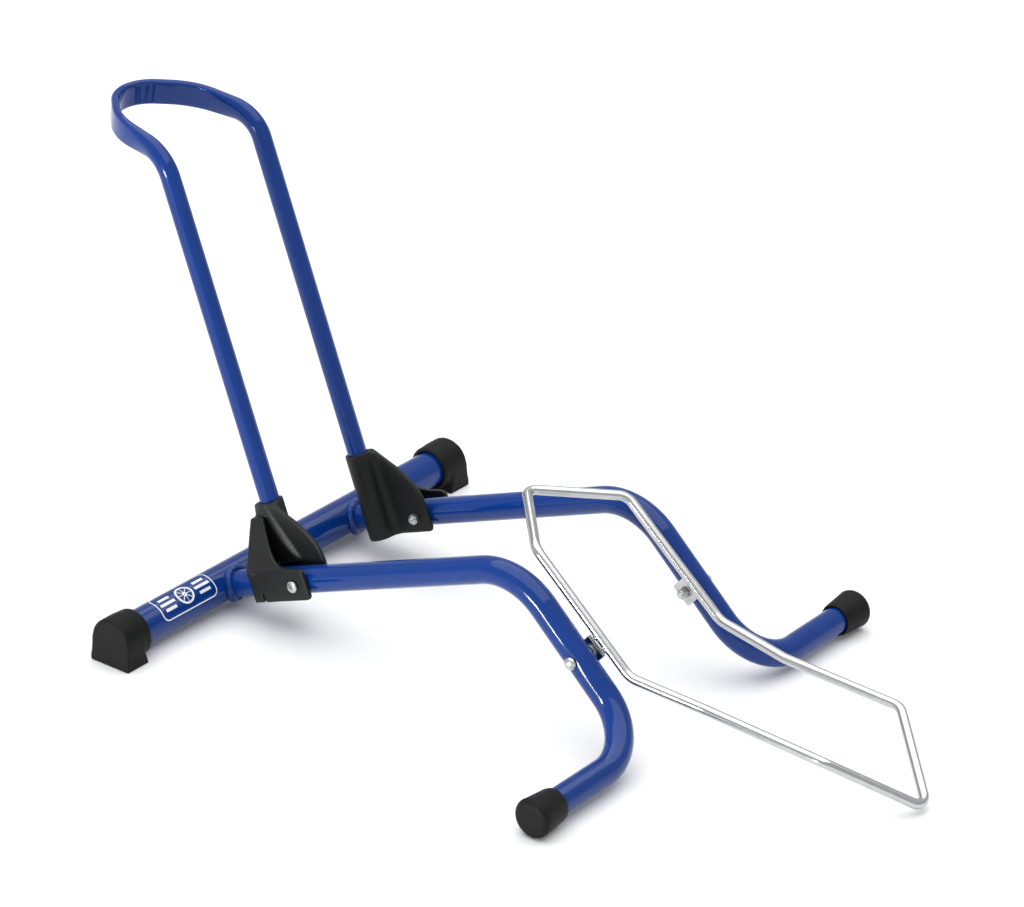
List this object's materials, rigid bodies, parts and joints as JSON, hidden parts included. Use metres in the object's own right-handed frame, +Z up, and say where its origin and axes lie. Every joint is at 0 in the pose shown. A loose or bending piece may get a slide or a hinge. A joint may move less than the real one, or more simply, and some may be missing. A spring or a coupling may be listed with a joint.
{
  "type": "bike repair stand",
  "caption": "Low folding floor stand for a bicycle wheel: tubular frame on rubber feet, tall folding hoop with a flattened top, and a rocking chromed wire wheel cradle.",
  "frame": {"origin": "on the floor, under the middle of the stand's bounding box, in its mirror plane", "axes": "+X towards the open front where the wheel rolls in, +Y across the stand to its left, +Z up"},
  "size_m": [0.7822, 0.42, 0.3826],
  "materials": {
    "blue_paint": "glossy",
    "black_plastic": "satin",
    "black_rubber": "matte",
    "chrome_wire": "polished",
    "zinc_steel": "zinc plated"
  },
  "bodies": {
    "frame": {"crossbar": "blue_paint", "rear_foot_left": "black_rubber", "rear_foot_right": "black_rubber", "side_tube_left": "blue_paint", "side_tube_right": "blue_paint", "side_tube_weld_left": "blue_paint", "side_tube_weld_right": "blue_paint", "front_cap_left": "black_rubber", "front_cap_right": "black_rubber", "bracket_bolt_left": "zinc_steel", "bracket_bolt_right": "zinc_steel", "bracket_nut_left": "zinc_steel", "bracket_nut_right": "zinc_steel", "cradle_bolt_left": "zinc_steel", "cradle_bolt_right": "zinc_steel", "cradle_washer_left": "zinc_steel", "cradle_washer_right": "zinc_steel", "cradle_nut_left": "zinc_steel", "cradle_nut_right": "zinc_steel"},
    "folding_hoop": {"hoop": "blue_paint", "hoop_bracket_left": "black_plastic", "hoop_bracket_right": "black_plastic"},
    "cradle": {"cradle_wire": "chrome_wire", "cradle_tab_left": "chrome_wire", "cradle_tab_right": "chrome_wire"}
  },
  "joints": [
    {"name": "hoop_fold", "type": "hinge", "parent": "frame", "child": "folding_hoop", "pos_m": [-0.14194, 0, 0.04911], "axis": [0, 1, 0], "range_deg": [0, 90]},
    {"name": "cradle_rock", "type": "hinge", "parent": "frame", "child": "cradle", "pos_m": [0.12807, 0, 0.07149], "axis": [0, -1, 0], "range_deg": [0, 65]}
  ]
}
